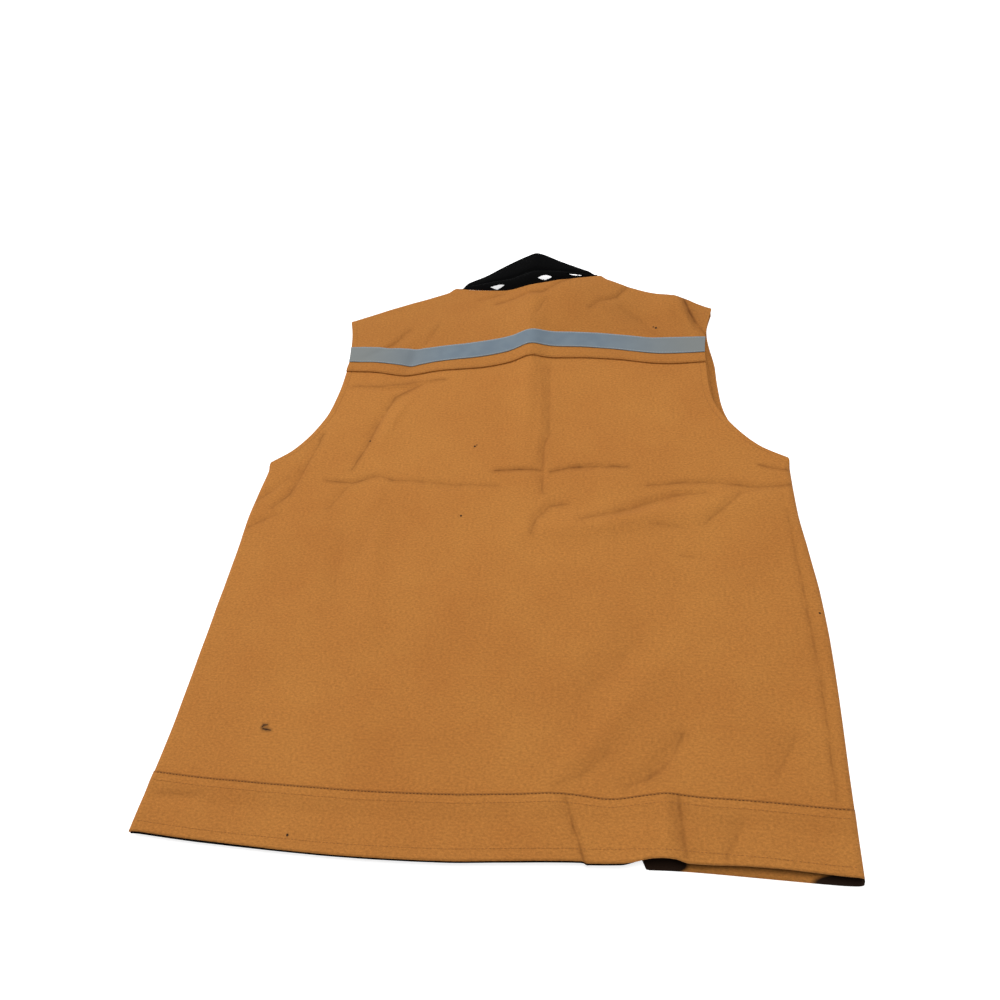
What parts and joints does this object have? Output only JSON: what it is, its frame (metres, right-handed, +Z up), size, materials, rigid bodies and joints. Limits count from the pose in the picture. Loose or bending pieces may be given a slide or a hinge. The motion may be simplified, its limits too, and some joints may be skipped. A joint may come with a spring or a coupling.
{
  "type": "work vest",
  "caption": "Sleeveless cotton duck work vest with a dark collar, a back yoke, a reflective strip and a hem band, lying flat face down.",
  "frame": {"origin": "on the floor, under the middle of the vest as it lies", "axes": "+X across the vest to the right of the picture, +Y from the hem to the collar, +Z up from the floor, out of the back"},
  "size_m": [0.598, 0.7496, 0.0315],
  "materials": {
    "duck_canvas": "matte woven canvas",
    "reflective_tape": "satin reflective beads",
    "collar_cloth": "matte",
    "black_trim": "matte"
  },
  "bodies": {
    "root": {"back_panel": "duck_canvas", "back_hem_band": "duck_canvas", "back_yoke": "duck_canvas", "front_panel_left": "duck_canvas", "front_panel_right": "duck_canvas", "front_hem_band_left": "duck_canvas", "front_hem_band_right": "duck_canvas", "hem_facing": "black_trim", "front_zip": "black_trim", "reflective_tape": "reflective_tape", "collar_stand": "collar_cloth", "collar_leaf": "collar_cloth", "collar_front_left": "collar_cloth", "collar_front_right": "collar_cloth"}
  },
  "joints": []
}
